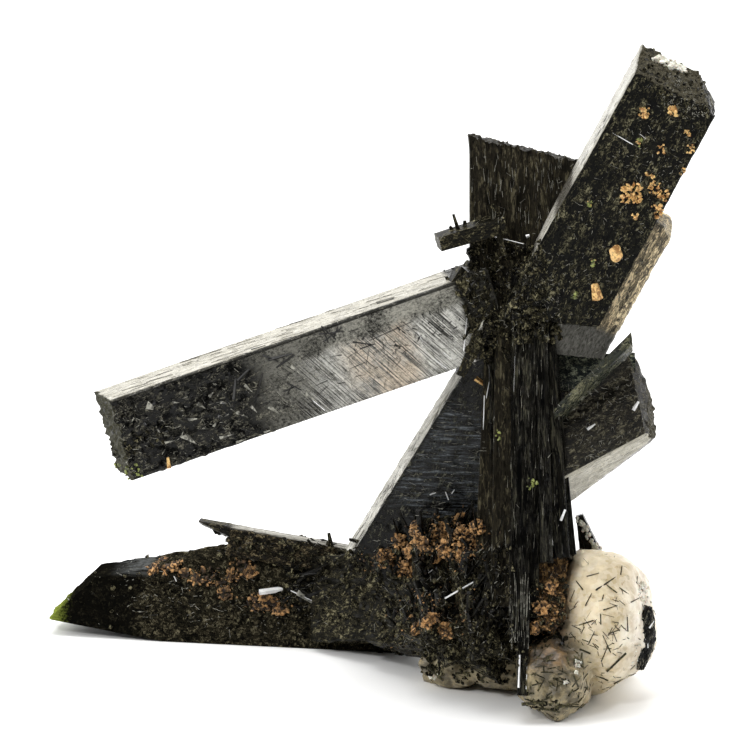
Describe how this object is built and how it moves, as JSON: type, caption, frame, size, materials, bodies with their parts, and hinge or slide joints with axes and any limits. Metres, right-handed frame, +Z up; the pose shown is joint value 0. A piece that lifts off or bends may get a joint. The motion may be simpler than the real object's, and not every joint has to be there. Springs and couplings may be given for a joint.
{
  "type": "aegirine crystal cluster",
  "caption": "Cluster of long black prismatic crystals that cross one another, grown on a cream feldspar lump full of fine dark needles; a display mineral specimen.",
  "frame": {"origin": "middle of the small flat foot under the front of the feldspar, on the plane that the specimen rests on", "axes": "+Z up; -Y toward the viewer of the picture; +X to the viewer's right"},
  "size_m": [0.0899, 0.0452, 0.0876],
  "materials": {
    "aegirine": "glassy black-brown, striated along each crystal, rough on broken ends",
    "feldspar": "dull cream to tan, with dark needles",
    "rim_crystal": "glossy black",
    "back_shard": "dull black with a white crust on one edge"
  },
  "bodies": {
    "root": {"aegirine_cluster": "aegirine", "feldspar_matrix": "feldspar", "rim_crystal": "rim_crystal", "back_shard": "back_shard"}
  },
  "joints": []
}
